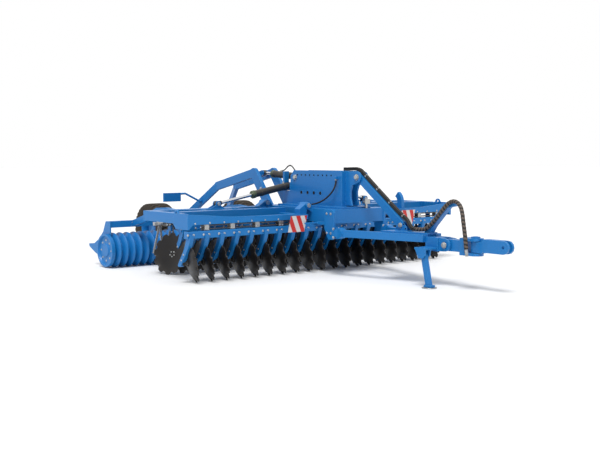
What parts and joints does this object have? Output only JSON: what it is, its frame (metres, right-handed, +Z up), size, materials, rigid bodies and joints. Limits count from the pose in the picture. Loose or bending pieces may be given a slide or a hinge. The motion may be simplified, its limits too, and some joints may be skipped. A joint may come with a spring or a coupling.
{
  "type": "disc harrow",
  "caption": "Trailed disc harrow: two rows of angled discs on folding wings, ring rollers, rear transport wheels on a swing undercarriage and an A-frame drawbar.",
  "frame": {"origin": "bottom centre of the bounding box, on the ground", "axes": "+X towards the tractor, +Y to the machine's left, +Z up"},
  "size_m": [7.495, 5.24, 1.5908],
  "materials": {
    "blue_paint": "satin",
    "black_steel": "satin",
    "spring_steel": "satin",
    "chrome": "polished",
    "cylinder_paint": "satin",
    "tyre": "matte",
    "hose": "matte",
    "zinc": "satin",
    "board": "satin",
    "tine_steel": "satin"
  },
  "bodies": {
    "chassis": {"centre_frame": "blue_paint", "tower": "blue_paint", "fold_pin_plate": "blue_paint", "fold_pin_left": "zinc", "fold_pin_right": "zinc", "drawbar_beam_left": "blue_paint", "drawbar_beam_right": "blue_paint", "drawbar_brace": "blue_paint", "drawbar_gusset": "blue_paint", "drawbar_nose": "blue_paint", "hitch_head": "blue_paint", "stand_bracket": "blue_paint", "hose_post": "blue_paint", "control_valve": "zinc", "warning_board_left": "board", "warning_board_right": "board", "feed_hoses": "hose", "side_hose": "hose", "hose_bundle": "hose", "hose_plugs": "zinc"},
    "tow_arm": {"tow_arm": "blue_paint"},
    "stand": {"stand_leg": "blue_paint", "stand_foot": "zinc"},
    "undercarriage": {"swing_arm_left": "blue_paint", "swing_arm_right": "blue_paint", "swing_crosshead": "blue_paint", "axle_beam": "blue_paint", "lamp_board": "blue_paint"},
    "lift_barrel": {"lift_barrel": "cylinder_paint", "lift_hose": "hose"},
    "lift_rod": {"lift_rod": "chrome"},
    "wheel_left": {"tyre_left": "tyre", "rim_left": "blue_paint"},
    "wing_left": {"wing_frame_left": "blue_paint", "front_disc_row_left": "black_steel", "rear_disc_row_left": "black_steel", "front_springs_left": "spring_steel", "rear_springs_left": "spring_steel", "tine_row_left": "tine_steel", "roller_frame_left": "blue_paint", "rest_horn": "blue_paint"},
    "roller_left": {"roller_left": "blue_paint"},
    "fold_barrel_left": {"fold_barrel_left": "cylinder_paint"},
    "fold_rod_left": {"fold_rod_left": "chrome"},
    "wheel_right": {"tyre_right": "tyre", "rim_right": "blue_paint"},
    "wing_right": {"wing_frame_right": "blue_paint", "front_disc_row_right": "black_steel", "rear_disc_row_right": "black_steel", "front_springs_right": "spring_steel", "rear_springs_right": "spring_steel", "tine_row_right": "tine_steel", "roller_frame_right": "blue_paint"},
    "roller_right": {"roller_right": "blue_paint"},
    "fold_barrel_right": {"fold_barrel_right": "cylinder_paint"},
    "fold_rod_right": {"fold_rod_right": "chrome"}
  },
  "joints": [
    {"name": "hitch_swivel", "type": "hinge", "parent": "chassis", "child": "tow_arm", "pos_m": [3.1825, 0, 0.56], "axis": [0, 0, 1], "range_deg": [-50, 50]},
    {"name": "stand_fold", "type": "hinge", "parent": "chassis", "child": "stand", "pos_m": [2.5725, -0.3, 0.425], "axis": [0, 1, 0], "range_deg": [0, 90]},
    {"name": "undercarriage_swing", "type": "hinge", "parent": "chassis", "child": "undercarriage", "pos_m": [-0.8675, 0, 0.86], "axis": [0, 1, 0], "range_deg": [-11, 14]},
    {"name": "lift_barrel_swing", "type": "hinge", "parent": "chassis", "child": "lift_barrel", "pos_m": [-0.2975, 0, 1.4], "axis": [0, 1, 0], "range_deg": [-5.3, 6.8]},
    {"name": "lift_rod_slide", "type": "slide", "parent": "lift_barrel", "child": "lift_rod", "axis": [-0.9985, 0, 0.0538], "range_m": [-0.142, 0.112]},
    {"name": "wheel_left", "type": "hinge", "parent": "undercarriage", "child": "wheel_left", "pos_m": [-3.2975, 0.9, 0.45], "axis": [0, 1, 0], "continuous": true},
    {"name": "wing_fold_left", "type": "hinge", "parent": "chassis", "child": "wing_left", "pos_m": [-0.1725, 0.5, 1], "axis": [1, 0, 0], "range_deg": [0, 90]},
    {"name": "roller_left", "type": "hinge", "parent": "wing_left", "child": "roller_left", "pos_m": [-2.0175, 1.3, 0.27], "axis": [0, 1, 0], "continuous": true},
    {"name": "fold_barrel_left", "type": "hinge", "parent": "chassis", "child": "fold_barrel_left", "pos_m": [-0.4975, 0.12, 1.27], "axis": [1, 0, 0], "range_deg": [0, 74.5]},
    {"name": "fold_rod_left", "type": "slide", "parent": "fold_barrel_left", "child": "fold_rod_left", "axis": [0, 0.984, -0.1783], "range_m": [-0.592, 0]},
    {"name": "wheel_right", "type": "hinge", "parent": "undercarriage", "child": "wheel_right", "pos_m": [-3.2975, -0.9, 0.45], "axis": [0, 1, 0], "continuous": true},
    {"name": "wing_fold_right", "type": "hinge", "parent": "chassis", "child": "wing_right", "pos_m": [-0.1725, -0.5, 1], "axis": [-1, 0, 0], "range_deg": [0, 90]},
    {"name": "roller_right", "type": "hinge", "parent": "wing_right", "child": "roller_right", "pos_m": [-2.0175, -1.3, 0.27], "axis": [0, 1, 0], "continuous": true},
    {"name": "fold_barrel_right", "type": "hinge", "parent": "chassis", "child": "fold_barrel_right", "pos_m": [-0.4975, -0.12, 1.27], "axis": [-1, 0, 0], "range_deg": [0, 74.5]},
    {"name": "fold_rod_right", "type": "slide", "parent": "fold_barrel_right", "child": "fold_rod_right", "axis": [0, -0.984, -0.1783], "range_m": [-0.592, 0]}
  ],
  "couplings": [
    {"joint": "lift_barrel_swing", "follows": "undercarriage_swing", "ratio": 0.47},
    {"joint": "lift_rod_slide", "follows": "undercarriage_swing", "m_per_rad": -0.575},
    {"joint": "fold_barrel_left", "follows": "wing_fold_left", "ratio": 0.822},
    {"joint": "fold_rod_left", "follows": "wing_fold_left", "m_per_rad": -0.3747},
    {"joint": "fold_barrel_right", "follows": "wing_fold_right", "ratio": 0.822},
    {"joint": "fold_rod_right", "follows": "wing_fold_right", "m_per_rad": -0.3747}
  ]
}
